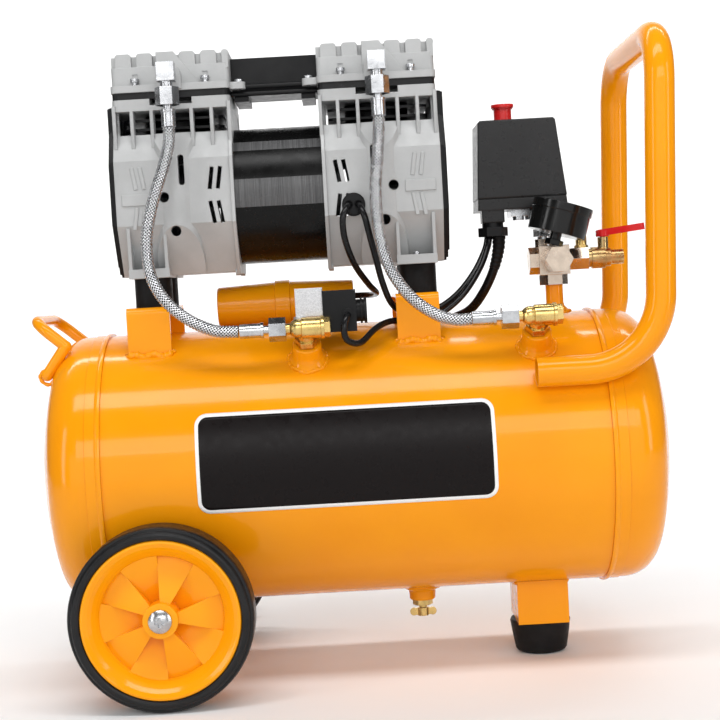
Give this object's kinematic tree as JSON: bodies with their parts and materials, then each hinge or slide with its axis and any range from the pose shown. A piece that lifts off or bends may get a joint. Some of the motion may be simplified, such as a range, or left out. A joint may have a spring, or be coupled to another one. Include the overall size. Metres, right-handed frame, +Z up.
{
  "type": "portable air compressor",
  "caption": "Portable oil-free air compressor: twin-head piston pump on a horizontal orange tank with wheels, push handle, pressure switch, gauge and outlet valve.",
  "frame": {"origin": "on the floor, below the middle of the tank", "axes": "+Z up; +X along the tank towards the push handle; +Y across the tank, away from the side with the hoses and the drain view"},
  "size_m": [0.5549, 0.4408, 0.5455],
  "materials": {
    "orange_enamel": "glossy powder coat",
    "orange_plastic": "moulded, semi-gloss",
    "cast_grey": "silver-grey casting paint, satin",
    "black_rubber": "matte moulded",
    "tyre_rubber": "semi-matte",
    "black_plastic": "fine moulded texture",
    "dark_metal": "satin black",
    "zinc": "zinc plated",
    "bright_metal": "machined",
    "brass": "machined",
    "bronze": "nickel plated brass, worn",
    "steel": "ground",
    "red_plastic": "moulded",
    "red_lever": "glossy paint",
    "braid": "woven stainless wire",
    "cable_black": "extruded sheath",
    "lens": "clear",
    "capacitor_can": "drawn can",
    "gasket_black": "matte"
  },
  "bodies": {
    "frame": {"tank_shell": "orange_enamel", "tank_heads": "orange_enamel", "front_handle": "orange_enamel", "lifting_bail": "orange_enamel", "saddle_brackets": "orange_enamel", "axle_brackets": "orange_enamel", "wheel_axles": "zinc", "foot_bracket": "orange_enamel", "rubber_foot": "black_rubber", "tank_bosses": "orange_enamel", "drain_cock": "brass", "rubber_mounts": "black_rubber", "fasteners": "zinc", "crankcase_left": "cast_grey", "crankcase_right": "cast_grey", "fan_covers": "black_plastic", "cylinders": "dark_metal", "valve_plates": "steel", "head_gaskets": "gasket_black", "head_covers": "cast_grey", "motor_stator": "dark_metal", "shaft_bearings": "steel", "intake_duct": "black_plastic", "crossover_tubes": "zinc", "hose_left": "braid", "hose_right": "braid", "steel_fittings": "zinc", "check_valves": "brass", "capacitor_housing": "orange_plastic", "run_capacitor": "capacitor_can", "unloader_valve": "bright_metal", "solenoid_coil": "black_plastic", "cable_glands": "black_plastic", "motor_lead": "cable_black", "capacitor_lead": "cable_black", "solenoid_lead": "cable_black", "mains_lead": "cable_black", "mains_coil": "cable_black", "mains_plug": "cable_black", "manifold": "bronze", "safety_valve": "brass", "ball_valve": "brass", "gauge_case": "black_plastic", "gauge_lens": "lens", "switch_base": "black_plastic", "switch_cover": "black_plastic"},
    "near_wheel": {"near_rim": "orange_plastic", "near_tyre": "tyre_rubber"},
    "far_wheel": {"far_rim": "orange_plastic", "far_tyre": "tyre_rubber"},
    "crankshaft": {"rotor": "steel", "eccentrics": "steel", "cooling_fans": "black_plastic"},
    "left_piston": {"piston_left": "bright_metal"},
    "right_piston": {"piston_right": "bright_metal"},
    "switch_button": {"switch_knob": "red_plastic"},
    "outlet_lever": {"valve_lever": "red_lever"},
    "gauge_pointer": {"gauge_needle": "red_plastic"},
    "drain_key": {"drain_wing": "brass"},
    "relief_ring": {"safety_pull": "zinc"}
  },
  "joints": [
    {"name": "near_wheel_spin", "type": "hinge", "parent": "frame", "child": "near_wheel", "pos_m": [-0.166, -0.132, 0.076], "axis": [0, 1, 0], "continuous": true},
    {"name": "far_wheel_spin", "type": "hinge", "parent": "frame", "child": "far_wheel", "pos_m": [-0.166, 0.132, 0.076], "axis": [0, 1, 0], "continuous": true},
    {"name": "crank_spin", "type": "hinge", "parent": "frame", "child": "crankshaft", "pos_m": [-0.054, 0, 0.421], "axis": [1, 0, 0], "continuous": true},
    {"name": "left_piston_slide", "type": "slide", "parent": "frame", "child": "left_piston", "axis": [0, 0, 1], "range_m": [-0.006, 0.006]},
    {"name": "right_piston_slide", "type": "slide", "parent": "frame", "child": "right_piston", "axis": [0, 0, 1], "range_m": [-0.006, 0.006]},
    {"name": "switch_press", "type": "slide", "parent": "frame", "child": "switch_button", "axis": [0, 0, 1], "range_m": [-0.006, 0]},
    {"name": "outlet_lever_turn", "type": "hinge", "parent": "frame", "child": "outlet_lever", "pos_m": [0.23, 0, 0.35], "axis": [0, 0, 1], "range_deg": [0, 90]},
    {"name": "gauge_pointer_turn", "type": "hinge", "parent": "frame", "child": "gauge_pointer", "pos_m": [0.188, -0.034, 0.385], "axis": [0.2924, 0, 0.9563], "range_deg": [-270, 0]},
    {"name": "drain_key_turn", "type": "hinge", "parent": "frame", "child": "drain_key", "pos_m": [0.052, 0, 0.041], "axis": [0, 0, 1], "range_deg": [0, 180]},
    {"name": "relief_ring_pull", "type": "slide", "parent": "frame", "child": "relief_ring", "axis": [0, 0, 1], "range_m": [0, 0.002]}
  ]
}
